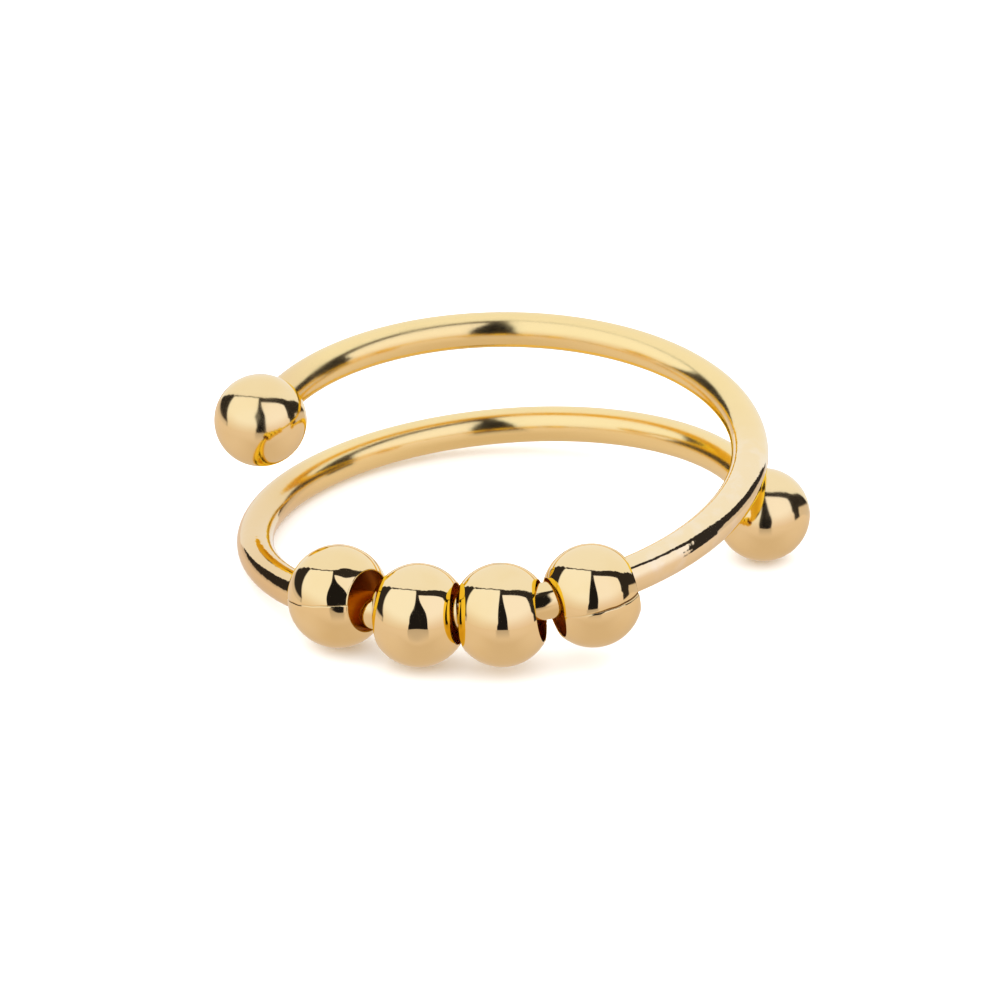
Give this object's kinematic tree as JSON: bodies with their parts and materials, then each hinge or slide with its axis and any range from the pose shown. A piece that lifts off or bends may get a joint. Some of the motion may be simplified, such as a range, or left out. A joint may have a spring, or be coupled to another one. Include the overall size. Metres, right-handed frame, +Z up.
{
  "type": "spinner ring",
  "caption": "Open coil finger ring of round gold-plated wire, with a ball on each end and loose hollow beads on its front that turn on the wire.",
  "frame": {"origin": "under the middle of the ring's box, on the surface that it lies on", "axes": "+Z up, nearly along the finger hole; -Y towards the beads; +X towards the lower end ball"},
  "size_m": [0.0234, 0.0232, 0.0068],
  "materials": {
    "wire": "polished pale gold plate",
    "balls": "polished pale gold plate",
    "beads": "polished pale gold plate, formed sheet with a seam"
  },
  "bodies": {
    "band": {"ring_wire": "wire", "end_ball_lower": "balls", "end_ball_upper": "balls"},
    "first_bead": {"bead_1": "beads"},
    "second_bead": {"bead_2": "beads"},
    "third_bead": {"bead_3": "beads"},
    "fourth_bead": {"bead_4": "beads"}
  },
  "joints": [
    {"name": "bead_1_spin", "type": "hinge", "parent": "band", "child": "first_bead", "pos_m": [-0.00674, -0.00713, 0.00203], "axis": [0.7662, -0.6251, 0.1486], "continuous": true},
    {"name": "bead_2_spin", "type": "hinge", "parent": "band", "child": "second_bead", "pos_m": [-0.00365, -0.00898, 0.00204], "axis": [0.9722, -0.2041, 0.1149], "continuous": true},
    {"name": "bead_3_spin", "type": "hinge", "parent": "band", "child": "third_bead", "pos_m": [-0.00048, -0.00957, 0.00226], "axis": [0.9827, -0.1204, 0.1409], "continuous": true},
    {"name": "bead_4_spin", "type": "hinge", "parent": "band", "child": "fourth_bead", "pos_m": [0.00297, -0.00897, 0.00272], "axis": [0.9372, 0.3046, 0.1697], "continuous": true}
  ]
}
